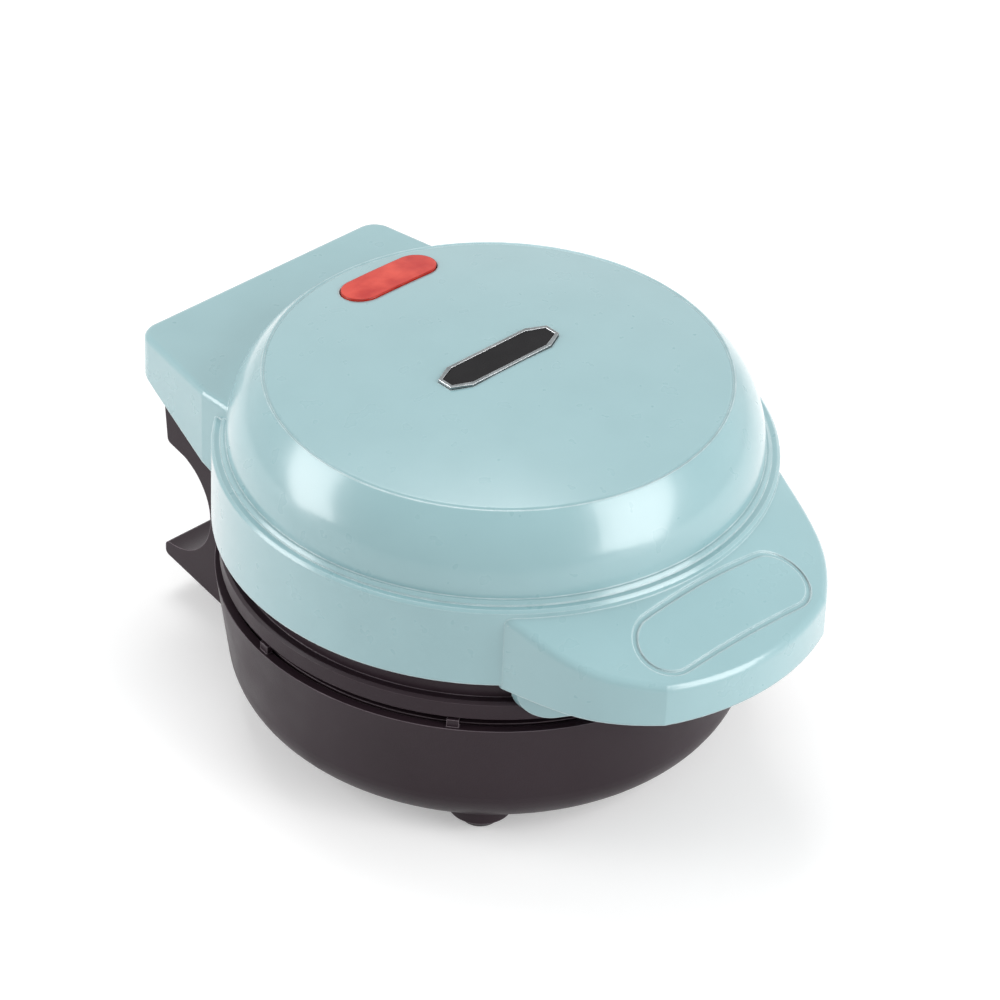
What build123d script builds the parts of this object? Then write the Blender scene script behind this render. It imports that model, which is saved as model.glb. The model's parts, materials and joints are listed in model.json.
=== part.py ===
from build123d import *
import os
from math import atan2, cos, radians, sin, sqrt

os.makedirs("parts", exist_ok=True)

# Mini donut maker: a round two-plate cooker with a hinged lid.
# Millimetres. Z is up from the table, the handle points to -Y, the hinge is at +Y.
# Every piece is drawn about the round body's own axis, and moved at the end so that
# the origin lies on the table under the middle of the whole outline.

# Heights of the stack, from the table up
foot_height = 4.0
base_height = 35.5
rim_gap = 2.2
band_height = 5.5
neck_height = 7.1
skirt_height = 21.8
shoulder_height = 19.7
crown_rise = 4.0

# Round body, all of it following the radius of the base
base_radius = 69.2
base_wall = 2.4
base_draft = 0.14
base_corner = 14.0
lid_radius = base_radius + 0.8
lid_wall = 2.3
ledge_width = 2.2
ledge_rise = 0.4
edge_break = 0.7
shoulder_foot_inset = 3.6
shoulder_bulge = 2.4
crown_radius = lid_radius - 12.2
crease_width = 1.1
crease_depth = 0.45

# Lid frame and base frame
band_radius = base_radius - 1.2
neck_radius = base_radius - 3.8
frame_top_height = 3.0
frame_inner_radius = base_radius - 9.2
ledge_inner_radius = base_radius - 11.2
plate_ledge = 2.5
lip_gap = 0.3

# Cooking plates
plate_radius = base_radius - 8.2
plate_thickness = 2.0
plate_gap = 0.6
lower_plate_rise = 0.8
well_count = 4
well_pitch_radius = plate_radius * 0.533
well_ring_radius = plate_radius * 0.23
well_tube_radius = plate_radius * 0.123
well_wall = 1.8

# Heating elements and reflector pans
heater_radius = well_pitch_radius
heater_tube = 2.6
heater_arc = 300.0
heater_pin_radius = 1.6
heater_pin_length = 9.0
pan_sheet = 0.8
pan_radius = ledge_inner_radius - 2.0
pan_flange = 3.7
seat_gap = 0.15

# Handle
handle_length = 23.8
handle_reach = lid_radius + handle_length
handle_root_half = 47.0
handle_mid_half = 39.0
handle_mid_reach = lid_radius + handle_length * 0.2
handle_front_half = 27.0
handle_front_drop = 6.0
handle_hollow = -0.8
handle_root_drop = 1.5
handle_tip_height = 9.3
handle_end_slope = 5.0
handle_skirt_below = 1.0
handle_wall = 2.4
handle_edge = 2.2
handle_root = lid_radius - 20.0
handle_floor_drop = 20.0
handle_draw = 40.0
thumb_half = 27.0
thumb_rear = lid_radius + 0.8
thumb_front = handle_reach - 6.6
thumb_groove = 1.3
thumb_depth = 0.5
apron_half = 43.5
apron_drop = 10.7
apron_corner = 8.0

# Hinge axis and pins
hinge_y = base_radius + 5.8
hinge_rise = 6.0
pin_radius = 2.0
pin_fit = 0.02
pin_running = 0.05
pin_inner = 12.0
pin_skin = 1.5
bush_wall = 1.4
bush_length = 6.0
knuckle_radius = 6.0
knuckle_web = 4.0

# Hinge block of the lid
block_length = 14.3
block_reach = hinge_y + block_length
block_half = 40.0
block_flare = 5.5
block_root = lid_radius - 12.0
block_top = 26.4
block_rear_height = 10.5
block_chamfer = 7.5
block_chamfer_rise = 3.0
block_side_slope = 0.33
block_corner = 6.0
block_edge = 1.6
block_overlap = 18.0

# Hinge tower of the base
tower_half = 35.0
tower_wall = 2.4
tower_front = base_radius - 6.8
tower_gap = 1.0
tower_root = base_radius - 19.2
room_rear = hinge_y - 2.5
room_top_drop = 38.0
slot_half = 20.0
slot_floor_drop = 5.0
horn_radius = 10.2
horn_clearance = 0.4
notch_y = hinge_y + 8.1
notch_drop = 23.5
notch_radius = 15.8
notch_turn = 111.0
horn_lip_drop = 7.3
horn_lip_y = hinge_y + 8.9
tower_foot_drop = 43.3
tower_foot_slope = 0.2
tip_round = 1.5
window_half = 9.0
window_height = 6.0

# Bracket that hangs the lid's block on the pins
bracket_rise = horn_radius + 2.1
bracket_thickness = 2.4
bracket_half = 26.0
bracket_depth = 6.0
bracket_screw_x = 22.5
bracket_boss = 3.2

# Cord gland under the tower
gland_y = hinge_y - 5.0
gland_bore = 3.2
gland_neck = 4.6
gland_flange = 6.2
gland_flange_thickness = 1.4
gland_length = 6.0

# Parts inside
insulator_radius = 3.2
insulator_height = 3.0
thermostat_radius = 8.0
thermostat_height = 7.0
thermostat_cap_height = 3.2
thermostat_neck = 6.4
tab_x = 4.8
tab_thickness = 0.8
tab_width = 4.8
tab_height = 6.0
thermostat_y = -20.0
terminal_length = 30.0
terminal_depth = 14.0
terminal_height = 11.0
terminal_y = -24.0
terminal_well = 2.0
terminal_hole = 1.6
terminal_hole_rise = 4.0
fuse_radius = 2.0
fuse_length = 12.0
fuse_lead = 0.5
fuse_y = 12.0
clip_sheet = 0.8
clip_width = 5.0
clip_wing = 5.0
wire_radius = 1.2
wire_bend = 3.0
wire_run = 12.0
wire_rise = 4.9
lamp_radius = 2.8
lamp_length = 17.0
lamp_rise = 0.6
holder_depth = 9.0
holder_wall = 1.4
holder_rib_x = 5.0
holder_rib = 1.6

# Feet
foot_circle = base_radius - 16.2
foot_top_radius = 7.0
foot_bottom_radius = 4.3
foot_edge = 0.8
foot_pad_extra = 1.0
stud_radius = 2.2
foot_seat_radius = 4.5
foot_seat_rise = 0.9

# Vents in the floor and rest pads on the rim
vent_side_count = 3
vent_pitch = 6.0
vent_length = 22.0
vent_width = 2.4
vent_y = 8.0
rest_pad_angles = (-141.0, -39.0, 172.5, 7.5)
rest_pad_width = 3.0
rest_pad_depth = 1.6
rest_pad_inset = 0.9
rest_pad_gap = 0.1

# Screws
frame_screw_circle = base_radius - 5.3
screw_radius = 1.25
screw_fit = 0.05
screw_head_radius = 2.2
screw_head_height = 1.6
screw_sink = 3.4
boss_radius = 3.2
boss_bore = 9.0
post_radius = 4.0
post_bore = 7.0
base_screw_circle = base_radius - 9.2
base_boss_radius = 3.6
base_boss_top = 26.0
base_screw_sink = 9.0
frame_post_radius = 3.4
head_slot_length = 3.2
head_slot_width = 0.8
head_slot_depth = 0.6

# Indicator lens and plate on the crown
lens_x = 6.0
lens_y = crown_radius - 11.3
lens_length = 28.6
lens_width = 10.6
lens_proud = 0.5
lens_gap = 0.3
lens_flange = 1.5
lens_flange_thickness = 1.2
badge_length = 36.0
badge_width = 9.4
badge_taper = 5.0
badge_end = 4.4
badge_rim = 0.8
badge_thickness = 1.2
badge_sink = 0.8

# Heights worked out from the stack
base_z = foot_height
rim_z = base_z + base_height
frame_z = rim_z + rim_gap
neck_z = frame_z + band_height
lid_z = neck_z + neck_height
ledge_z = lid_z + skirt_height
crown_z = ledge_z + 2 * ledge_rise + shoulder_height
top_z = crown_z + crown_rise
lower_face = rim_z + lower_plate_rise
upper_face = lower_face + plate_gap
well_reach = well_tube_radius + well_wall
hinge_z = lid_z + hinge_rise
axis_y = (handle_reach - block_reach) / 2
past_all = 120.0
under_depth = 30.0


def turned(outline):
    """Turn a closed outline, drawn as radius and height, about the upright axis."""
    return revolve(Plane.XZ * make_face(outline), Axis.Z)


def disc(radius, low, high, x=0.0, y=0.0):
    return Pos(x, y, (low + high) / 2) * Cylinder(radius, high - low)


def ring(outer, inner, low, high):
    return disc(outer, low, high) - disc(inner, low - 1, high + 1)


def bar(x0, x1, y0, y1, z0, z1):
    middle = Pos((x0 + x1) / 2, (y0 + y1) / 2, (z0 + z1) / 2)
    return middle * Box(x1 - x0, y1 - y0, z1 - z0)


def rod_x(radius, x0, x1, y, z):
    return Pos((x0 + x1) / 2, y, z) * Rot(0, 90, 0) * Cylinder(radius, x1 - x0)


def around(count, radius, start=45.0):
    """Places evenly spaced on a circle about the body's axis."""
    turn = 360.0 / count
    angles = [radians(start + turn * i) for i in range(count)]
    return [(radius * cos(a), radius * sin(a)) for a in angles]


def joined(pieces):
    whole = pieces[0]
    for piece in pieces[1:]:
        whole = whole + piece
    return whole


def crown_drop(radius, wall=0.0):
    """How far the crown lies below its top at a radius, on its face set in by a wall."""
    edge = crown_radius - wall * 0.6 - crease_width
    sphere = (edge ** 2 + crown_rise ** 2) / (2 * crown_rise)
    return sphere - sqrt(sphere ** 2 - radius ** 2)


def lid_form(wall):
    """The round dome, filled, set in by a wall."""
    side = lid_radius - wall
    foot = lid_radius - shoulder_foot_inset - wall
    edge = crown_radius - wall * 0.6
    ledge = ledge_z - wall * 0.5
    low = lid_z - (1.0 if wall else 0.0)
    step = [
        (0, low),
        (side, low),
        (side, ledge - edge_break),
        (side - edge_break, ledge),
        (side - ledge_width, ledge),
        (side - ledge_width, ledge + ledge_rise),
        (side - ledge_width - edge_break, ledge + ledge_rise + edge_break),
        (foot, ledge + ledge_rise + edge_break),
    ]
    shoulder_top = (edge, crown_z - wall)
    crown_start = (edge - crease_width, crown_z - wall)
    top = (0, top_z - wall)
    crease = [shoulder_top, (edge - crease_width / 2, crown_z - wall - crease_depth), crown_start]
    outline = Polyline(*step)
    outline += SagittaArc(step[-1], shoulder_top, -shoulder_bulge)
    outline += Polyline(*crease)
    outline += SagittaArc(crown_start, top, crown_sagitta(crown_start[0]))
    outline += Line(top, (0, low))
    return turned(outline)


def crown_sagitta(half_chord):
    """Sagitta of the crown's half arc, level at the axis."""
    sphere = (half_chord ** 2 + crown_rise ** 2) / (2 * crown_rise)
    chord = sqrt(half_chord ** 2 + crown_rise ** 2)
    return -(sphere - sqrt(sphere ** 2 - (chord / 2) ** 2))


def block_form(wall):
    """The hinge block behind the dome, filled, set in by a wall."""
    rear = block_reach - wall
    half = block_half - wall
    root = half + block_flare
    reach_in = block_root - block_overlap
    plan = make_face(Polyline((-root, reach_in), (-root, block_root), (-half, rear),
                              (half, rear), (root, block_root), (root, reach_in), close=True))
    rear_corners = plan.vertices().sort_by(Axis.Y)[-2:]
    plan = fillet(rear_corners, block_corner - wall * 0.8)
    low = lid_z - 1.0
    body = extrude(Pos(0, 0, low) * plan, lid_z + block_top - wall - low)
    if wall:
        return body
    body = fillet(body.faces().sort_by(Axis.Z)[-1].edges(), block_edge)
    return body & block_side_view()


def block_side_view():
    """The block seen from the side: level top, raised rear edge, chamfer and rising side edge."""
    top = lid_z + block_top
    rear_low = top - block_rear_height
    chamfer_y = block_reach - block_chamfer
    chamfer_z = rear_low - block_chamfer_rise
    front = block_root - block_overlap
    front_z = chamfer_z - block_side_slope * (chamfer_y - front)
    past = block_reach + 1
    side = Polyline((front, front_z), (chamfer_y, chamfer_z), (block_reach, rear_low),
                    (past, rear_low), (past, top + 1), (front, top + 1), close=True)
    return extrude(Plane.YZ * make_face(side), past_all, both=True)


def handle_plan(wall):
    """Outline of the handle seen from above."""
    front = -(handle_reach - wall)
    root = (handle_root_half - wall, -handle_root)
    mid = (handle_mid_half - wall, -handle_mid_reach)
    corner = (handle_front_half - wall * 0.7, front + handle_front_drop)
    right = Spline(root, mid, corner, tangents=[(-0.25, -1), (-0.75, -0.6)])
    left = mirror(right, Plane.YZ)
    nose = ThreePointArc(corner, (0, front), (-corner[0], corner[1]))
    back = Line(root, (-root[0], root[1]))
    return make_face(right + nose + left + back)


def handle_top(drop):
    """Everything under the handle's swept top, which falls away from the dome in a hollow curve."""
    high = (block_root, ledge_z - handle_root_drop - drop)
    wall_side = (lid_radius - edge_break, high[1])
    low = (handle_reach, lid_z + handle_tip_height - drop)
    far = (handle_reach + handle_length, low[1] - handle_end_slope)
    floor = lid_z - handle_floor_drop
    outline = Line(high, wall_side)
    outline += SagittaArc(wall_side, low, handle_hollow)
    outline += Line(low, far)
    outline += Polyline(far, (far[0], floor), (high[0], floor), high)
    return turned(outline)


def handle_form(wall):
    low = lid_z - handle_skirt_below - (1.0 if wall else 0.0)
    body = extrude(Pos(0, 0, low) * handle_plan(wall), handle_draw) & handle_top(wall)
    if wall:
        return body
    return fillet(handle_rim(body), handle_edge)


def handle_rim(body):
    """The top edges of the handle that can be seen outside the dome."""
    high = [e for e in body.edges() if e.center().Z > lid_z + handle_tip_height - 1]
    return [e for e in high if abs(e.center().X) > handle_front_half or e.center().Y < -handle_mid_reach]


def thumb_cut():
    """A shallow groove round the thumb rest, following the handle's top."""
    middle = -(thumb_rear + thumb_front) / 2
    width = thumb_front - thumb_rear
    outer = SlotOverall(2 * thumb_half, width)
    inner = SlotOverall(2 * (thumb_half - thumb_groove), width - 2 * thumb_groove)
    loop = extrude(Pos(0, middle, lid_z) * (outer - inner), handle_draw)
    return loop - handle_top(thumb_depth)


def apron():
    """The tongue of the lid's skirt under the handle."""
    top = lid_z + 1.0
    low = lid_z - apron_drop
    height = top - low + 2 * apron_corner
    face = Pos(0, low + height / 2) * RectangleRounded(2 * apron_half, height, apron_corner)
    tongue = extrude(Plane.XZ * face, lid_radius + 5)
    return tongue & ring(lid_radius, band_radius + lip_gap, low - 1, top)


def lens_outline(gap, length=lens_length, width=lens_width):
    return SlotOverall(length + 2 * gap, width + 2 * gap)


def badge_outline(inset):
    """A long plate with its ends drawn in to a short flat."""
    half = badge_length / 2 - inset
    wide = badge_width / 2 - inset
    end = badge_end / 2 - inset * 0.6
    shoulder = half - badge_taper
    corners = [(-half, -end), (-shoulder, -wide), (shoulder, -wide), (half, -end)]
    mirrored = [(x, -y) for x, y in reversed(corners)]
    return make_face(Polyline(*corners, *mirrored, close=True))


def frame_screw_places():
    return around(4, frame_screw_circle)


def lid_shell():
    """Outer lid moulding: dome, hinge block, handle, apron and its screw bosses."""
    outer = lid_form(0) + block_form(0) + handle_form(0)
    dome = lid_form(lid_wall)
    wall = disc(lid_radius, lid_z - under_depth, ledge_z)
    hollow_grip = handle_form(handle_wall) - wall
    hollow_block = block_form(lid_wall)
    under = disc(lid_radius - lid_wall, lid_z - under_depth, lid_z)
    shell = outer - dome - under - hollow_block - hollow_grip - thumb_cut()
    shell = shell + apron()
    boss_low = lid_z + frame_top_height
    for x, y in frame_screw_places():
        post = disc(boss_radius, boss_low, crown_z, x, y) & lid_form(lid_wall / 2)
        shell = shell + post
        shell = shell - disc(screw_radius, boss_low - 1, boss_low + boss_bore, x, y)
    posts, bores = bracket_bosses()
    shell = shell + posts - bores
    lens_hole = extrude(Pos(lens_x, lens_y, crown_z - 10) * lens_outline(lens_gap), 30)
    seat = extrude(Pos(0, 0, top_z - badge_sink) * badge_outline(-0.1), 5)
    return shell - lens_hole - seat


def lid_frame():
    """Dark ring under the lid: stepped outside, with a ledge that holds the upper plate."""
    top = lid_z + frame_top_height
    lip = lid_radius - lid_wall - lip_gap
    ledge_top = upper_face + plate_thickness + plate_ledge
    pocket = plate_radius + lip_gap
    outline = Polyline((band_radius - edge_break, frame_z), (band_radius, frame_z + edge_break),
                       (band_radius, neck_z - edge_break), (band_radius - edge_break, neck_z),
                       (neck_radius, neck_z), (neck_radius, lid_z), (lip, lid_z), (lip, top),
                       (frame_inner_radius, top), (frame_inner_radius, ledge_top),
                       (ledge_inner_radius, ledge_top), (ledge_inner_radius, upper_face + plate_thickness),
                       (pocket, upper_face + plate_thickness), (pocket, frame_z), close=True)
    body = turned(outline)
    flat = tower_front - tower_gap
    body = body - bar(-tower_half - 5, tower_half + 5, flat, lid_radius + 5, frame_z - 1, top + 1)
    for x, y in frame_screw_places():
        body = body - disc(screw_radius, frame_z - 1, top + 1, x, y)
        body = body - disc(screw_head_radius + 0.2, frame_z - 1, frame_z + screw_sink, x, y)
    return body


def head_slot(x, y, face, side):
    """Driver slot in a screw's head; side points out of the head."""
    low, high = sorted((face - side * head_slot_depth, face + side))
    half = head_slot_length / 2
    return bar(x - half, x + half, y - head_slot_width / 2, y + head_slot_width / 2, low, high)


def frame_screws():
    """Screws that hold the lid frame to the bosses of the lid."""
    tip = lid_z + frame_top_height + boss_bore - 1.0
    head_low = frame_z + screw_sink - screw_head_height
    screws = []
    for x, y in frame_screw_places():
        head = disc(screw_head_radius, head_low, frame_z + screw_sink, x, y)
        shank = disc(screw_radius - screw_fit, frame_z + screw_sink, tip, x, y)
        screws.append(head + shank - head_slot(x, y, head_low, -1))
    return Compound(screws)


def cooking_plate(face, side):
    """A plate with ring-shaped wells; side is -1 where its back faces down, +1 where it faces up."""
    back = face + side * plate_thickness
    plate = disc(plate_radius, *sorted((face, back)))
    peg = well_ring_radius - well_tube_radius * 0.5
    for x, y in around(well_count, well_pitch_radius):
        plate = plate + Pos(x, y, face) * Torus(well_ring_radius, well_reach)
        plate = plate + disc(peg, *sorted((face, face + side * well_reach * 0.5)), x, y)
    plate = plate - disc(base_radius, *sorted((face, face - side * under_depth)))
    for x, y in around(well_count, well_pitch_radius):
        plate = plate - Pos(x, y, face) * Torus(well_ring_radius, well_tube_radius)
    post_end = pan_floor(face, side)
    plate = plate + disc(post_radius, *sorted((back - side * 0.5, post_end)))
    return plate - disc(screw_radius, *sorted((post_end - side * post_bore, post_end + side)))


def plate_screw(face, side):
    """The screw through a pan's floor into the post on the back of its plate."""
    back = pan_back(face, side)
    tip = pan_floor(face, side) - side * (post_bore - 1.0)
    head = disc(screw_head_radius, *sorted((back, back + side * screw_head_height)))
    shank = disc(screw_radius - screw_fit, *sorted((back, tip)))
    return head + shank - head_slot(0, 0, back + side * screw_head_height, side)


def heater_level(face, side):
    return face + side * (well_reach + heater_tube + seat_gap)


def pan_floor(face, side):
    """Inner face of the pan's floor, just under the heater."""
    return heater_level(face, side) + side * (heater_tube + seat_gap)


def pan_back(face, side):
    return pan_floor(face, side) + side * pan_sheet


def heater(face, side):
    """A bent sheathed element that lies on the backs of the wells, with two cold ends."""
    level = heater_level(face, side)
    path = Pos(0, 0, level) * heater_path()
    section = Plane(origin=path @ 0, z_dir=path % 0) * Circle(heater_tube)
    body = sweep(section, path)
    for t in (0, 1):
        end = path @ t
        low, high = sorted((level, pan_back(face, side) + side * heater_pin_length))
        body = body + Pos(end.X, end.Y, level) * Sphere(heater_tube)
        body = body + disc(heater_pin_radius, low, high, end.X, end.Y)
    return body


def heater_path():
    """The element's bend, open towards the hinge."""
    return CenterArc((0, 0), heater_radius, 90 + (360 - heater_arc) / 2, heater_arc)


def heater_ends():
    path = heater_path()
    return [((path @ t).X, (path @ t).Y) for t in (0, 1)]


def pan(face, side):
    """Thin reflector pan round the back of a plate, hung on its frame's ledge."""
    floor_in = pan_floor(face, side)
    back = pan_back(face, side)
    seat = face + side * (plate_thickness + plate_ledge)
    flange_out = ledge_inner_radius + pan_flange / 2
    body = disc(pan_radius, *sorted((seat, back)))
    body = body - disc(pan_radius - pan_sheet, *sorted((seat - side, floor_in)))
    body = body + ring(flange_out, pan_radius - pan_sheet, *sorted((seat, seat + side * pan_sheet)))
    body = body - disc(screw_radius + 0.3, *sorted((floor_in - side, back + side)))
    if side < 0:
        for x, y in base_screw_places():
            body = body - disc(frame_post_radius + 0.25, *sorted((seat - side, seat + side * 5)), x, y)
    for x, y in heater_ends():
        body = body - disc(heater_pin_radius + 0.5, *sorted((floor_in - side, back + side)), x, y)
    return body


def base_form(wall):
    """The bowl of the base, filled, set in by a wall: drafted side and rounded corner."""
    corner = base_corner - wall
    lean = atan2(base_draft, 1.0)
    low = base_z + wall
    centre_z = low + corner
    touch_z = centre_z - corner * sin(lean)
    top_radius = base_radius - wall
    touch_radius = top_radius - base_draft * (rim_z - touch_z)
    centre_radius = touch_radius - corner * cos(lean)
    half_turn = radians(45) + lean / 2
    middle = (centre_radius + corner * cos(half_turn), centre_z - corner * sin(half_turn))
    past = 1.0 if wall else 0.0
    top = (top_radius + base_draft * past, rim_z + past)
    outline = Polyline((0, top[1]), (0, low), (centre_radius, low))
    outline += ThreePointArc((centre_radius, low), middle, (touch_radius, touch_z))
    outline += Polyline((touch_radius, touch_z), top, (0, top[1]))
    return turned(outline)


def foot_places():
    return around(4, foot_circle)


def foot_seat():
    """Inner height of the bowl's floor at a foot, where its stud ends in a bead."""
    return base_z + base_wall + foot_seat_rise


def base_screw_places():
    return around(3, base_screw_circle, 30.0)


def base_shell():
    """Dark bowl of the base, with foot pads, screw bosses, vents and rest pads on its rim."""
    inside = base_form(base_wall)
    shell = base_form(0) - inside
    pads = joined([disc(foot_top_radius + foot_pad_extra, base_z, base_z + base_corner / 2, x, y)
                   for x, y in foot_places()])
    shell = shell + (pads - inside)
    seats = joined([disc(foot_seat_radius, base_z, foot_seat(), x, y) for x, y in foot_places()])
    shell = shell + (seats & base_form(0.01))
    seat_z = base_z + base_screw_sink
    for x, y in base_screw_places():
        boss = disc(base_boss_radius, base_z, base_z + base_boss_top, x, y) & base_form(0.01)
        shell = shell + boss
        shell = shell - disc(screw_head_radius + 0.4, base_z - 1, seat_z, x, y)
        shell = shell - disc(screw_radius + 0.25, base_z - 1, base_z + base_boss_top + 1, x, y)
    for x, y in foot_places():
        shell = shell - disc(stud_radius + 0.05, base_z - 1, foot_seat() + 1, x, y)
    for i in range(-vent_side_count, vent_side_count + 1):
        slot = Rot(0, 0, 90) * SlotOverall(vent_length, vent_width)
        shell = shell - extrude(Pos(i * vent_pitch, vent_y, base_z - 1) * slot, base_wall + 2)
    window_top = lid_z - room_top_drop
    shell = shell - bar(-window_half, window_half, base_radius - base_corner, base_radius,
                        window_top - window_height, window_top)
    for angle in rest_pad_angles:
        shell = shell + rest_pad(angle)
    return shell


def rest_pad(angle):
    """A small pad on the base's rim that keeps the lid frame off it."""
    out = base_radius - rest_pad_inset
    half = rest_pad_width / 2
    pad = bar(out - rest_pad_depth, out, -half, half, rim_z - 0.4, frame_z - rest_pad_gap)
    return Rot(0, 0, angle) * pad


def base_frame_outer():
    ledge_low = lower_face - plate_thickness - plate_ledge
    return base_radius - base_wall - base_draft * (rim_z - ledge_low) - lip_gap


def base_frame():
    """Ring inside the base's rim that holds the lower plate, with posts for the base screws."""
    outer = base_frame_outer()
    seat = lower_face - plate_thickness
    ledge_low = seat - plate_ledge
    pocket = plate_radius + lip_gap
    outline = Polyline((outer, ledge_low), (outer, rim_z), (pocket, rim_z), (pocket, seat),
                       (ledge_inner_radius, seat), (ledge_inner_radius, ledge_low), close=True)
    body = turned(outline)
    post_low = base_z + base_boss_top
    for x, y in base_screw_places():
        post = disc(frame_post_radius, post_low, ledge_low + 1.0, x, y)
        body = body + (post & disc(outer, post_low, rim_z))
        body = body - disc(screw_radius, post_low - 1, seat - 0.6, x, y)
    return body


def base_screws():
    """Long screws from below, through the bowl's bosses into the posts of the base frame."""
    seat_z = base_z + base_screw_sink
    tip = lower_face - plate_thickness - 1.2
    screws = []
    for x, y in base_screw_places():
        head = disc(screw_head_radius, seat_z - screw_head_height, seat_z, x, y)
        shank = disc(screw_radius - screw_fit, seat_z, tip, x, y)
        screws.append(head + shank - head_slot(x, y, seat_z - screw_head_height, -1))
    return Compound(screws)


def foot(x, y):
    """Tapered rubber foot with a stud through the bowl's floor."""
    cone = Pos(x, y, base_z / 2) * Cone(foot_bottom_radius, foot_top_radius, base_z)
    cone = chamfer(cone.edges().sort_by(Axis.Z)[0], foot_edge)
    stud = disc(stud_radius, base_z, foot_seat() + 0.1, x, y)
    bead = disc(stud_radius + 0.9, foot_seat() + 0.1, foot_seat() + 1.1, x, y)
    return cone + stud + bead


def tower_side_view():
    """Side outline of the hinge tower: rounded knuckle, deep round notch, blunt lower horn."""
    notch_z = lid_z - notch_drop
    turn = radians(notch_turn)
    notch_low = (notch_y, notch_z - notch_radius)
    notch_mid = (notch_y - notch_radius, notch_z)
    notch_high = (notch_y + notch_radius * cos(turn), notch_z + notch_radius * sin(turn))
    tip_y = hinge_y + horn_radius
    tip_low = (tip_y, lid_z - tower_foot_drop)
    front_low = (tower_root, tip_low[1] - tower_foot_slope * (tip_y - tower_root))
    lip = (horn_lip_y, lid_z - horn_lip_drop)
    rear = (tip_y, hinge_z)
    top = (hinge_y, hinge_z + horn_radius)
    front = (hinge_y - horn_radius, hinge_z)
    shoulder = (tower_root, hinge_z - horn_radius)
    outline = Polyline(front_low, tip_low, (tip_y, notch_low[1]), notch_low)
    outline += ThreePointArc(notch_low, notch_mid, notch_high)
    outline += Polyline(notch_high, lip, rear)
    outline += ThreePointArc(rear, top, front)
    outline += Polyline(front, shoulder, front_low)
    face = make_face(outline)
    corners = [v for v in face.vertices() if v.X > hinge_y and v.Y < lid_z]
    rounded = [v for v in corners if abs(v.X - tip_y) < 0.01 or abs(v.X - horn_lip_y) < 0.01]
    return fillet(rounded, tip_round)


def hinge_tower():
    """Dark hinge tower behind the bowl: two horns for the pins over a notched column."""
    body = extrude(Plane.YZ * tower_side_view(), tower_half, both=True)
    body = body + tower_skin() - base_form(-seat_gap)
    ring_clear = band_radius + tower_gap
    inner_side = bar(-past_all, past_all, -past_all, tower_front, rim_z - 0.01, past_all)
    round_side = disc(ring_clear, rim_z + 0.001, past_all)
    body = body - inner_side - round_side
    body = body - bar(-slot_half, slot_half, 0, past_all, lid_z - slot_floor_drop, past_all)
    body = body - tower_room()
    for side in (-1, 1):
        ends = sorted((side * (slot_half - 1), side * (tower_half - pin_skin)))
        body = body - rod_x(pin_radius + pin_fit, *ends, hinge_y, hinge_z)
    return body - disc(gland_neck + 0.05, 0, gland_end() + 0.1, 0, gland_y)


def tower_skin():
    """A wall of the tower that follows the bowl, so that the notch doesn't cut through."""
    notch_z = lid_z - notch_drop
    width = bar(-tower_half, tower_half, tower_root, past_all, notch_z - notch_radius, rim_z - 0.01)
    return base_form(-tower_wall) & width


def tower_room():
    """The room for the cord inside the tower's foot, open to the window in the bowl."""
    low = lid_z - tower_foot_drop + tower_wall
    drop = tower_foot_slope * (hinge_y + horn_radius - room_rear)
    front_drop = tower_foot_slope * (hinge_y + horn_radius - tower_root)
    high = lid_z - room_top_drop
    side = Polyline((tower_root, low - front_drop), (room_rear, low - drop), (room_rear, high),
                    (tower_root, high), close=True)
    room = extrude(Plane.YZ * make_face(side), tower_half - tower_wall, both=True)
    return room - base_form(0)


def gland_seat():
    """Underside of the tower at the front edge of the gland's flange."""
    run = hinge_y + horn_radius - gland_y + gland_flange
    return lid_z - tower_foot_drop - tower_foot_slope * run - 0.1


def gland_end():
    return gland_seat() - gland_flange_thickness + gland_length


def cord_gland():
    """Round bush in the tower's underside, where a cord would enter."""
    seat = gland_seat()
    body = disc(gland_flange, seat - gland_flange_thickness, seat, 0, gland_y)
    body = body + disc(gland_neck, seat, gland_end(), 0, gland_y)
    return body - disc(gland_bore, 0, past_all, 0, gland_y)


def hinge_pins():
    """Two steel pins, fixed in the horns and running in the lid's bushes."""
    pins = []
    for side in (-1, 1):
        ends = sorted((side * pin_inner, side * (tower_half - pin_skin - 0.1)))
        pins.append(rod_x(pin_radius, *ends, hinge_y, hinge_z))
    return Compound(pins)


def hinge_bushes():
    """Bushes pressed into the lid's knuckle."""
    end = slot_half - horn_clearance
    bushes = []
    for side in (-1, 1):
        ends = sorted((side * (end - bush_length), side * end))
        bush = rod_x(pin_radius + pin_running + bush_wall, *ends, hinge_y, hinge_z)
        bushes.append(bush - rod_x(pin_radius + pin_running, *ends, hinge_y, hinge_z))
    return Compound(bushes)


def hinge_bracket():
    """The lid's knuckle with its web and the plate that is screwed under the block."""
    end = slot_half - horn_clearance
    low = hinge_z + bracket_rise
    body = rod_x(knuckle_radius, -end, end, hinge_y, hinge_z)
    body = body + bar(-end, end, hinge_y - knuckle_web, hinge_y + knuckle_web, hinge_z, low + 0.5)
    body = body + bar(-bracket_half, bracket_half, hinge_y - bracket_depth, hinge_y + bracket_depth,
                      low, low + bracket_thickness)
    for side in (-1, 1):
        bush = sorted((side * (end - bush_length), side * (end + 1)))
        tip = sorted((side * (pin_inner - 1), side * (end + 1)))
        body = body - rod_x(pin_radius + pin_running + bush_wall + pin_fit, *bush, hinge_y, hinge_z)
        body = body - rod_x(pin_radius + 0.3, *tip, hinge_y, hinge_z)
        x = side * bracket_screw_x
        body = body - disc(screw_radius + 0.2, low - 1, low + bracket_thickness + 1, x, hinge_y)
    return body


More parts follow.
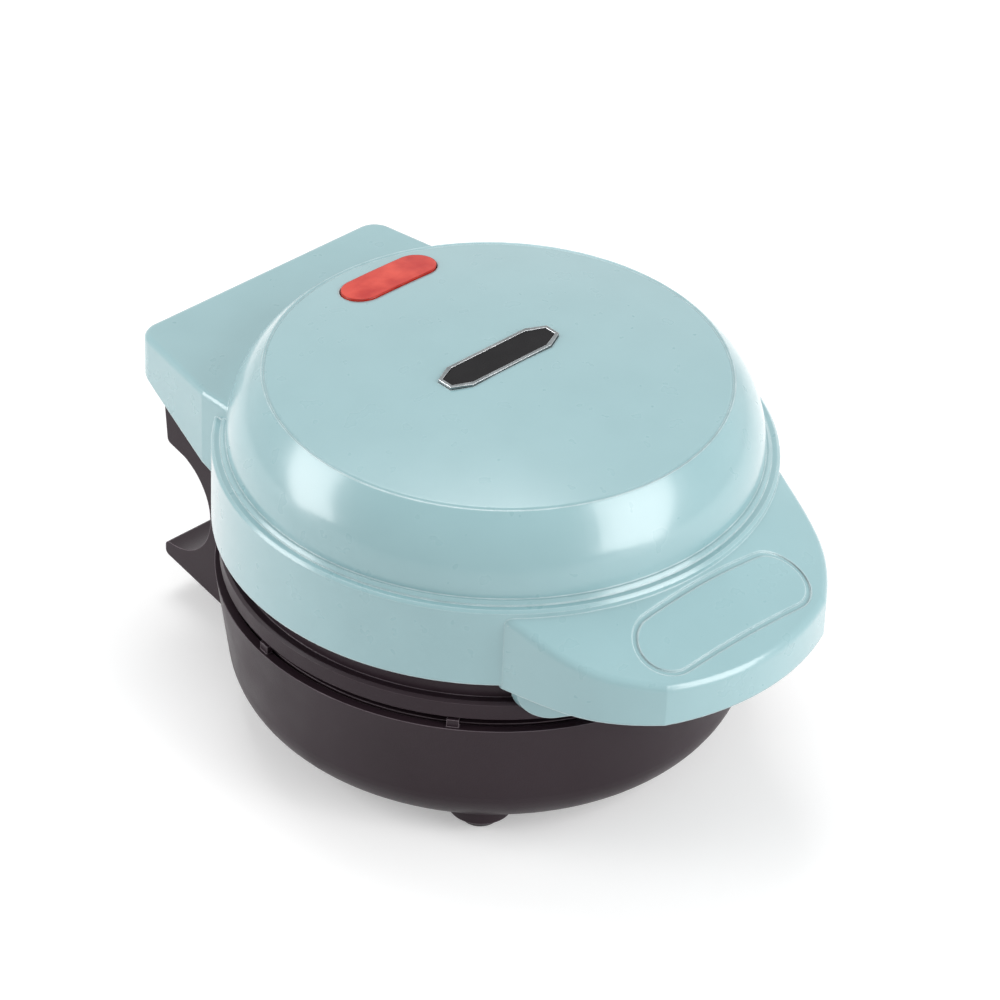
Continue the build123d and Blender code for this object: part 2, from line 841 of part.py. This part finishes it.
def bracket_screws():
    low = hinge_z + bracket_rise
    tip = lid_z + block_top - lid_wall - 1.0
    screws = []
    for side in (-1, 1):
        x = side * bracket_screw_x
        head = disc(screw_head_radius, low - screw_head_height, low, x, hinge_y)
        screws.append(head + disc(screw_radius - screw_fit, low, tip, x, hinge_y))
    return Compound(screws)


def bracket_bosses():
    """Posts under the block's roof that the bracket is screwed to."""
    low = hinge_z + bracket_rise + bracket_thickness
    roof = lid_z + block_top - lid_wall
    places = (-bracket_screw_x, bracket_screw_x)
    posts = [disc(bracket_boss, low, roof + 0.5, x, hinge_y) for x in places]
    bores = [disc(screw_radius, low - 1, roof - 0.5, x, hinge_y) for x in places]
    return joined(posts), joined(bores)


def insulators(face, side):
    """Ceramic beads round the heater's cold ends, on the back of the pan."""
    back = pan_back(face, side)
    span = sorted((back, back + side * insulator_height))
    beads = []
    for x, y in heater_ends():
        bead = disc(insulator_radius, *span, x, y)
        beads.append(bead - disc(heater_pin_radius + pin_fit, span[0] - 1, span[1] + 1, x, y))
    return Compound(beads)


def thermostat():
    """Snap-disc thermostat on the back of the upper pan."""
    back = pan_back(upper_face, 1)
    top = back + thermostat_height
    body = disc(thermostat_radius, back, back + thermostat_cap_height, 0, thermostat_y)
    body = body + disc(thermostat_neck, back, top, 0, thermostat_y)
    for x in (-tab_x, tab_x):
        body = body + bar(x - tab_thickness / 2, x + tab_thickness / 2, thermostat_y - tab_width / 2,
                          thermostat_y + tab_width / 2, top - 1, top + tab_height)
    return body


def fuse_level():
    return pan_back(lower_face, -1) - fuse_radius - 0.05


def thermal_fuse():
    """One-shot fuse against the underside of the lower pan."""
    body = rod_x(fuse_radius, -fuse_length / 2, fuse_length / 2, fuse_y, fuse_level())
    return body + rod_x(fuse_lead, -fuse_length, fuse_length, fuse_y, fuse_level())


def fuse_clip():
    """Spring strap that holds the fuse to the lower pan."""
    back = pan_back(lower_face, -1)
    inner = fuse_radius + 0.1
    outer = inner + clip_sheet
    level = fuse_level()
    half = clip_width / 2
    strap = rod_x(outer, -half, half, fuse_y, level)
    strap = strap + bar(-half, half, fuse_y - outer, fuse_y + outer, level, back)
    wing = outer + clip_wing
    strap = strap + bar(-half, half, fuse_y - wing, fuse_y + wing, back - clip_sheet, back)
    room = rod_x(inner, -half - 1, half + 1, fuse_y, level)
    room = room + bar(-half - 1, half + 1, fuse_y - inner, fuse_y + inner, level, back + 1)
    return strap - room


def terminal_block():
    """Ceramic terminal block on the bowl's floor."""
    low = base_z + base_wall
    half = terminal_length / 2
    rear = terminal_y + terminal_depth / 2
    body = bar(-half, half, terminal_y - terminal_depth / 2, rear, low, low + terminal_height)
    for i in (-1, 0, 1):
        x = i * terminal_length / 3
        well = disc(terminal_well, low + terminal_hole_rise, low + terminal_height + 1, x, terminal_y)
        bore = Rot(90, 0, 0) * Cylinder(terminal_hole, terminal_depth + 2)
        body = body - well - Pos(x, terminal_y, low + terminal_hole_rise) * bore
    return body


def wire(points):
    path = FilletPolyline(*points, radius=wire_bend)
    return sweep(Plane(origin=path @ 0, z_dir=path % 0) * Circle(wire_radius), path)


def base_wiring():
    """Sleeved leads from the terminal block to the lower heater's cold ends."""
    end_z = pan_back(lower_face, -1) - heater_pin_length - 0.1
    floor_z = base_z + base_wall + wire_radius + 0.1
    rear = terminal_y + terminal_depth / 2 + 0.1
    leads = []
    for x, y in heater_ends():
        block_x = terminal_length / 3 if x > 0 else -terminal_length / 3
        start = (block_x, rear, base_z + base_wall + terminal_hole_rise)
        leads.append(wire([start, (block_x, rear + wire_run, floor_z), (x, y, floor_z), (x, y, end_z)]))
    return Compound(leads)


def lid_wiring():
    """Sleeved leads from the thermostat to the upper heater's cold ends."""
    end_z = pan_back(upper_face, 1) + heater_pin_length + 0.1
    tab_z = pan_back(upper_face, 1) + thermostat_height + tab_height + 0.1
    over = tab_z + wire_rise
    leads = []
    for x, y in heater_ends():
        start_x = tab_x if x > 0 else -tab_x
        start = (start_x, thermostat_y, tab_z)
        leads.append(wire([start, (start_x, thermostat_y, over), (x, y, over), (x, y, end_z)]))
    return Compound(leads)


def lens_seat_z():
    """Top of the lens flange, just under the crown's inner face at its lowest."""
    end = sqrt(lens_y ** 2 + (lens_x + (lens_length - lens_width) / 2) ** 2)
    far = end + lens_width / 2 + lens_flange
    return top_z - lid_wall - crown_drop(far, lid_wall) - seat_gap


def indicator_lens():
    """Red oblong lens through the crown, with a flange behind it."""
    seat = lens_seat_z()
    window = extrude(Pos(lens_x, lens_y, seat - 0.2) * lens_outline(0), 12) & lid_form(-lens_proud)
    low = seat - lens_flange_thickness
    flange = extrude(Pos(lens_x, lens_y, low) * lens_outline(lens_flange), lens_flange_thickness)
    return window + flange


def lamp_holder():
    """Cup under the lens that cradles the lamp."""
    top = lens_seat_z() - lens_flange_thickness
    low = top - holder_depth
    cup = extrude(Pos(lens_x, lens_y, low) * lens_outline(lens_flange), holder_depth)
    inside = lens_outline(lens_flange - holder_wall)
    cup = cup - extrude(Pos(lens_x, lens_y, low + holder_wall) * inside, holder_depth)
    for x in (lens_x - holder_rib_x, lens_x + holder_rib_x):
        half = lens_width / 2
        rib = bar(x - holder_rib / 2, x + holder_rib / 2, lens_y - half, lens_y + half, low, lamp_level())
        cup = cup + rib
    half = lens_length / 2
    return cup - rod_x(lamp_radius + 0.05, lens_x - half, lens_x + half, lens_y, lamp_level())


def lamp_level():
    low = lens_seat_z() - lens_flange_thickness - holder_depth
    return low + holder_wall + lamp_radius + lamp_rise


def indicator_lamp():
    """Small glow lamp behind the lens."""
    start = lens_x - lamp_length / 2
    end = lens_x + lamp_length / 2 - lamp_radius
    tube = rod_x(lamp_radius, start, end, lens_y, lamp_level())
    return tube + Pos(end, lens_y, lamp_level()) * Sphere(lamp_radius)


def badge_trim():
    """Thin metal rim round the bare plate."""
    low = top_z - badge_sink
    return extrude(Pos(0, 0, low) * (badge_outline(0) - badge_outline(badge_rim)), badge_thickness)


def badge_plate():
    """Bare dark plate in the middle of the crown."""
    low = top_z - badge_sink
    return extrude(Pos(0, 0, low) * badge_outline(badge_rim + 0.05), badge_thickness - 0.2)


def write(name, piece):
    export_step(Pos(0, axis_y, 0) * piece, f"parts/{name}.step")


def main():
    write("lid_shell", lid_shell())
    write("lid_frame", lid_frame())
    write("lid_frame_screws", frame_screws())
    write("hinge_bracket", hinge_bracket())
    write("hinge_bracket_screws", bracket_screws())
    write("hinge_bushes", hinge_bushes())
    write("indicator_lens", indicator_lens())
    write("indicator_lamp", indicator_lamp())
    write("lamp_holder", lamp_holder())
    write("badge_plate", badge_plate())
    write("badge_trim", badge_trim())
    write("thermostat", thermostat())
    write("lid_wiring", lid_wiring())
    write("base_shell", base_shell())
    write("base_frame", base_frame())
    write("base_screws", base_screws())
    write("hinge_tower", hinge_tower())
    write("hinge_pins", hinge_pins())
    write("cord_gland", cord_gland())
    write("terminal_block", terminal_block())
    write("thermal_fuse", thermal_fuse())
    write("fuse_clip", fuse_clip())
    write("base_wiring", base_wiring())
    for level, face, side in (("upper", upper_face, 1), ("lower", lower_face, -1)):
        write(f"{level}_plate", cooking_plate(face, side))
        write(f"{level}_heater", heater(face, side))
        write(f"{level}_pan", pan(face, side))
        write(f"{level}_plate_screw", plate_screw(face, side))
        write(f"{level}_heater_insulators", insulators(face, side))
    for place, (x, y) in zip(("rear_right", "rear_left", "front_left", "front_right"), foot_places()):
        write(f"foot_{place}", foot(x, y))


main()
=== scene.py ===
import json
from math import cos, radians, sin

import bmesh
import bpy
from mathutils import Matrix, Vector

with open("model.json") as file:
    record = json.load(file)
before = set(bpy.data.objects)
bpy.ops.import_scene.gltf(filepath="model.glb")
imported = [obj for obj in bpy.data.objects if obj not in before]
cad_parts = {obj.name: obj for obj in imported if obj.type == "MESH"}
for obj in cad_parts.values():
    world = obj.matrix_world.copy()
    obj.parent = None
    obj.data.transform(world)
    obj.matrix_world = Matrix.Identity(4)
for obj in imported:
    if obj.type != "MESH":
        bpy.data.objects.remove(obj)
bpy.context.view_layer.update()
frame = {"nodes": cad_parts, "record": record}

# Places in metres: the round body's axis in Y, the height of the lid's lower edge, and the
# points that the camera and the lamps are turned to
BODY_Y = 0.00225
LID_Z = 0.0543
CAMERA_AIM = (0.0, BODY_Y, LID_Z)
LAMP_AIM = (0.0, 0.0, LID_Z)

# The camera fitted to the photograph: angles in degrees, distance and nearest sight in metres,
# lens in image widths, sensor in millimetres, and how far the object is shifted right and down
# in the image, in pixels of an image 1000 wide
CAMERA_AZIMUTH = -44.43
CAMERA_ELEVATION = 36.0
CAMERA_ROLL = 2.16
CAMERA_DISTANCE = 1.2
CAMERA_LENS = 4.829
CAMERA_CLIP = 0.01
CAMERA_SHIFT = (-6.7, 11.5)
IMAGE_WIDTH = 1000.0
SENSOR_WIDTH = 36.0

# Lamps: middle of the lower edge, middle of the upper edge and width in metres, power in watts.
# The first two show as the bright patches on the shoulder.
SOFTBOXES = {
    "left_box": ((-1.06, 0.56, 0.06), (-0.59, 0.68, 0.79), 0.45, 6.5),
    "front_box": ((0.21, -1.18, 0.06), (0.40, -0.66, 0.92), 0.6, 9.5),
    "top_box": ((0.1, 0.2, 1.28), (0.32, 0.62, 1.12), 0.6, 6.0),
}

# The world's strength as light on the object, and where it is seen, which makes it white
WORLD_LIGHT = 0.45
WORLD_SEEN = 1.0
WHITE = (1.0, 1.0, 1.0, 1.0)

# The floor: half its side in metres, its colour, and what lifts its white where it is seen
FLOOR_REACH = 6.0
FLOOR_COLOUR = (0.8, 0.8, 0.8, 1.0)
FLOOR_ROUGHNESS = 0.9
FLOOR_GLOW = 0.3

# Sockets of the Mix node that carry colours
MIX_FIRST = 6
MIX_SECOND = 7
MIX_RESULT = 2

# Noise: the part of its range that counts in colour and gloss, and how much finer than the
# colour's noise those of the wear and the gloss are. Detail is in octaves.
NOISE_ROUGHNESS = 0.5
NOISE_RANGE = (0.2, 0.8)
WEAR_FINER = 4
GLOSS_FINER = 3
RELIEF_DETAIL = 3.0
RELIEF_STRENGTH = 0.8

# Edges: rays for each rounded normal, the cosines of its turn from the true normal where wear
# is full and where it ends, and the noise that breaks the wear up, with the least that it leaves
BEVEL_SAMPLES = 8
EDGE_COSINES = (0.8, 0.985)
BREAK_DETAIL = 3.0
BREAK_RANGE = (0.3, 0.7)
LEAST_WEAR = 0.55

# What the metals have in common
METAL = dict(worn=(232, 232, 233), mottle=200.0, relief=1800.0, depth=0.00001, edge=0.0003, Metallic=1.0)

# The finish of each material slot, in the terms of look()
FINISHES = {
    "lid_gloss": dict(
        first=(135, 171, 176), second=(139, 175, 180), worn=(206, 226, 229),
        mottle=60.0, detail=3.0, rough=(0.27, 0.3), relief=900.0, depth=0.00001, edge=0.0008,
        Coat_Weight=1.0, Coat_Roughness=0.16,
    ),
    "dark_body": dict(
        first=(40, 29, 35), second=(47, 36, 42), worn=(124, 113, 119),
        mottle=30.0, rough=(0.34, 0.44), relief=2600.0, depth=0.00004, edge=0.0005,
        Specular_IOR_Level=0.18,
    ),
    "non_stick": dict(
        first=(38, 37, 38), second=(50, 48, 49), worn=(84, 82, 82),
        mottle=900.0, rough=(0.28, 0.42), relief=1500.0, depth=0.00002,
        Metallic=0.15,
    ),
    "steel": dict(METAL, first=(176, 177, 180), second=(204, 205, 207), rough=(0.2, 0.36)),
    "pan_aluminium": dict(METAL, first=(196, 197, 199), second=(222, 222, 224), rough=(0.25, 0.4)),
    "brass": dict(METAL, first=(190, 150, 86), second=(214, 178, 110), rough=(0.22, 0.35)),
    "black_rubber": dict(
        first=(34, 32, 34), second=(48, 45, 47), worn=(72, 68, 70),
        mottle=120.0, rough=(0.6, 0.8), relief=2400.0, depth=0.00005, edge=0.0005,
    ),
    "red_lens": dict(
        first=(178, 28, 22), second=(214, 74, 58), worn=(140, 26, 22),
        mottle=150.0, rough=(0.15, 0.25), relief=300.0, depth=0.00006, edge=0.0005,
        Specular_IOR_Level=0.3,
    ),
    "lamp_glass": dict(
        first=(226, 190, 160), second=(240, 214, 190), worn=(244, 226, 206),
        mottle=200.0, rough=(0.05, 0.12), relief=900.0, depth=0.00001,
    ),
    "white_inner": dict(
        first=(206, 204, 198), second=(222, 220, 214), worn=(232, 230, 226),
        mottle=90.0, rough=(0.4, 0.55), relief=1600.0, depth=0.00003,
    ),
    "ceramic": dict(
        first=(222, 218, 208), second=(236, 232, 224), worn=(240, 238, 232),
        mottle=160.0, rough=(0.5, 0.7), relief=2200.0, depth=0.00004,
    ),
    "sleeved_wire": dict(
        first=(206, 200, 184), second=(226, 220, 206), worn=(232, 228, 216),
        mottle=900.0, rough=(0.6, 0.8), relief=2600.0, depth=0.0001,
    ),
    "black_plate": dict(
        first=(17, 16, 18), second=(25, 24, 26), worn=(48, 48, 50),
        mottle=120.0, rough=(0.2, 0.3), relief=1200.0, depth=0.00001,
        Specular_IOR_Level=0.12,
    ),
    "bright_rim": dict(METAL, first=(120, 126, 128), second=(156, 161, 163), rough=(0.18, 0.3)),
}


def linear(red, green, blue):
    """A colour written as it shows on screen, 0 to 255, as linear light."""
    def one(value):
        value = value / 255.0
        return value / 12.92 if value <= 0.04045 else ((value + 0.055) / 1.055) ** 2.4
    return (one(red), one(green), one(blue), 1.0)


class Nodes:
    """A material's node tree with short ways to add and link nodes."""

    def __init__(self, name):
        self.material = bpy.data.materials.new(name)
        self.material.use_nodes = True
        self.tree = self.material.node_tree
        self.shader = self.tree.nodes["Principled BSDF"]

    def add(self, kind, **inputs):
        """A new node. Inputs are named, with underscores for the spaces."""
        node = self.tree.nodes.new(kind)
        for key, value in inputs.items():
            node.inputs[key.replace("_", " ")].default_value = value
        return node

    def link(self, source, target):
        self.tree.links.new(source, target)

    def noise(self, scale, detail):
        """Noise fixed to the piece, with about scale cells in a metre."""
        node = self.add("ShaderNodeTexNoise", Scale=scale, Detail=detail, Roughness=NOISE_ROUGHNESS)
        self.link(self.add("ShaderNodeTexCoord").outputs["Object"], node.inputs["Vector"])
        return node.outputs["Fac"]

    def span(self, source, low, high, start, end):
        """The source's range from start to end, spread smoothly from low to high."""
        node = self.add("ShaderNodeMapRange", From_Min=start, From_Max=end, To_Min=low, To_Max=high)
        node.interpolation_type = "SMOOTHSTEP"
        self.link(source, node.inputs["Value"])
        return node.outputs["Result"]

    def mix(self, factor, first, second):
        """Two colours mixed, each a plain colour or another node's output."""
        node = self.add("ShaderNodeMix")
        node.data_type = "RGBA"
        self.link(factor, node.inputs["Factor"])
        for index, colour in ((MIX_FIRST, first), (MIX_SECOND, second)):
            if hasattr(colour, "links"):
                self.link(colour, node.inputs[index])
            else:
                node.inputs[index].default_value = colour
        return node.outputs[MIX_RESULT]

    def rounded(self, radius):
        """Normals as if every edge were rounded a little."""
        bevel = self.add("ShaderNodeBevel", Radius=radius)
        bevel.samples = BEVEL_SAMPLES
        return bevel.outputs["Normal"]

    def edge_wear(self, normal, scale):
        """A mask that is highest along edges and 0 on open faces, broken up by noise."""
        dot = self.add("ShaderNodeVectorMath")
        dot.operation = "DOT_PRODUCT"
        self.link(normal, dot.inputs[0])
        self.link(self.add("ShaderNodeNewGeometry").outputs["Normal"], dot.inputs[1])
        edge = self.span(dot.outputs["Value"], 1.0, 0.0, *EDGE_COSINES)
        breaks = self.span(self.noise(scale, BREAK_DETAIL), LEAST_WEAR, 1.0, *BREAK_RANGE)
        both = self.add("ShaderNodeMath")
        both.operation = "MULTIPLY"
        self.link(edge, both.inputs[0])
        self.link(breaks, both.inputs[1])
        return both.outputs["Value"]

    def bumped(self, height, distance, normal):
        """Relief on the shader's normal, from a height that spans the distance."""
        bump = self.add("ShaderNodeBump", Distance=distance, Strength=RELIEF_STRENGTH)
        self.link(height, bump.inputs["Height"])
        self.link(normal, bump.inputs["Normal"])
        self.link(bump.outputs["Normal"], self.shader.inputs["Normal"])

    def set(self, **inputs):
        """Plain values on the shader's own sockets."""
        for key, value in inputs.items():
            self.shader.inputs[key.replace("_", " ")].default_value = value


def look(name, first, second, worn, mottle, rough, relief, depth, edge=0.0004, detail=4.0, **shader):
    """A surface: two mixed colours, a worn edge, uneven gloss and fine relief.

    The colours run from 0 to 255, and rough is the least and the greatest roughness. mottle and
    relief are cells in a metre of the colours' noise and of the relief, depth is the relief's
    height and edge the rounding of the edges, in metres. detail is the octaves of the mottling.
    """
    m = Nodes(name)
    normal = m.rounded(edge)
    wear = m.edge_wear(normal, mottle * WEAR_FINER)
    blend = m.span(m.noise(mottle, detail), 0.0, 1.0, *NOISE_RANGE)
    ground = m.mix(blend, linear(*first), linear(*second))
    m.link(m.mix(wear, ground, linear(*worn)), m.shader.inputs["Base Color"])
    gloss = m.noise(mottle * GLOSS_FINER, detail - 1.0)
    m.link(m.span(gloss, *rough, *NOISE_RANGE), m.shader.inputs["Roughness"])
    m.bumped(m.noise(relief, RELIEF_DETAIL), depth, normal)
    m.set(**shader)
    return m.material


def dress():
    """Each CAD node gets the finish of its own material slot."""
    looks = {slot: look(slot, **finish) for slot, finish in FINISHES.items()}
    slots = {entry["node"]: entry["material_slot"] for entry in frame["record"]["subparts"]}
    for name, node in frame["nodes"].items():
        for slot in node.material_slots:
            slot.material = looks[slots[name]]


def seen_directly(tree, unseen, seen):
    """One strength for camera, glossy and transmission rays, and another for all others."""
    rays = tree.nodes.new("ShaderNodeLightPath")
    total = rays.outputs["Is Camera Ray"]
    for kind in ("Is Glossy Ray", "Is Transmission Ray"):
        either = tree.nodes.new("ShaderNodeMath")
        either.operation = "MAXIMUM"
        tree.links.new(total, either.inputs[0])
        tree.links.new(rays.outputs[kind], either.inputs[1])
        total = either.outputs["Value"]
    span = tree.nodes.new("ShaderNodeMapRange")
    span.inputs["To Min"].default_value = unseen
    span.inputs["To Max"].default_value = seen
    tree.links.new(total, span.inputs["Value"])
    return span.outputs["Result"]


def make_floor():
    """A pale floor that keeps the shadow and is lifted towards white where it is seen."""
    mesh = bpy.data.meshes.new("floor")
    form = bmesh.new()
    signs = ((-1, -1), (1, -1), (1, 1), (-1, 1))
    form.faces.new([form.verts.new((x * FLOOR_REACH, y * FLOOR_REACH, 0)) for x, y in signs])
    form.to_mesh(mesh)
    form.free()
    floor = bpy.data.objects.new("floor", mesh)
    bpy.context.scene.collection.objects.link(floor)
    m = Nodes("floor_white")
    m.set(Base_Color=FLOOR_COLOUR, Roughness=FLOOR_ROUGHNESS, Emission_Color=WHITE)
    m.link(seen_directly(m.tree, 0.0, FLOOR_GLOW), m.shader.inputs["Emission Strength"])
    mesh.materials.append(m.material)


def softbox(name, low, high, width, power):
    """A panel lamp given by the middles of its lower and upper edges, turned to the object."""
    low, high = Vector(low), Vector(high)
    place = (low + high) / 2
    up = (high - low).normalized()
    right = up.cross(place - Vector(LAMP_AIM)).normalized()
    data = bpy.data.lights.new(name, "AREA")
    data.shape = "RECTANGLE"
    data.size = width
    data.size_y = (high - low).length
    data.energy = power
    lamp = bpy.data.objects.new(name, data)
    axes = Matrix((right, up, right.cross(up))).transposed().to_4x4()
    lamp.matrix_world = Matrix.Translation(place) @ axes
    bpy.context.scene.collection.objects.link(lamp)


def make_lights():
    """The softboxes, and a world that is white where it is seen."""
    for name, settings in SOFTBOXES.items():
        softbox(name, *settings)
    world = bpy.data.worlds.new("studio")
    bpy.context.scene.world = world
    world.use_nodes = True
    tree = world.node_tree
    background = tree.nodes["Background"]
    background.inputs["Color"].default_value = WHITE
    tree.links.new(seen_directly(tree, WORLD_LIGHT, WORLD_SEEN), background.inputs["Strength"])


def make_camera():
    """The camera at the photograph's viewing angle."""
    a, e, t = radians(CAMERA_AZIMUTH), radians(CAMERA_ELEVATION), radians(CAMERA_ROLL)
    back = Vector((sin(a) * cos(e), -cos(a) * cos(e), sin(e)))
    right = Vector((cos(a), sin(a), 0.0))
    up = back.cross(right)
    right, up = right * cos(t) + up * sin(t), up * cos(t) - right * sin(t)
    data = bpy.data.cameras.new("camera")
    data.sensor_width = SENSOR_WIDTH
    data.lens = SENSOR_WIDTH * CAMERA_LENS
    data.shift_x = -CAMERA_SHIFT[0] / IMAGE_WIDTH
    data.shift_y = CAMERA_SHIFT[1] / IMAGE_WIDTH
    data.clip_start = CAMERA_CLIP
    camera = bpy.data.objects.new("camera", data)
    axes = Matrix((right, up, back)).transposed().to_4x4()
    camera.matrix_world = Matrix.Translation(Vector(CAMERA_AIM) + back * CAMERA_DISTANCE) @ axes
    bpy.context.scene.collection.objects.link(camera)
    bpy.context.scene.camera = camera


bpy.context.scene.view_settings.view_transform = "Standard"
make_camera()
make_lights()
make_floor()
dress()
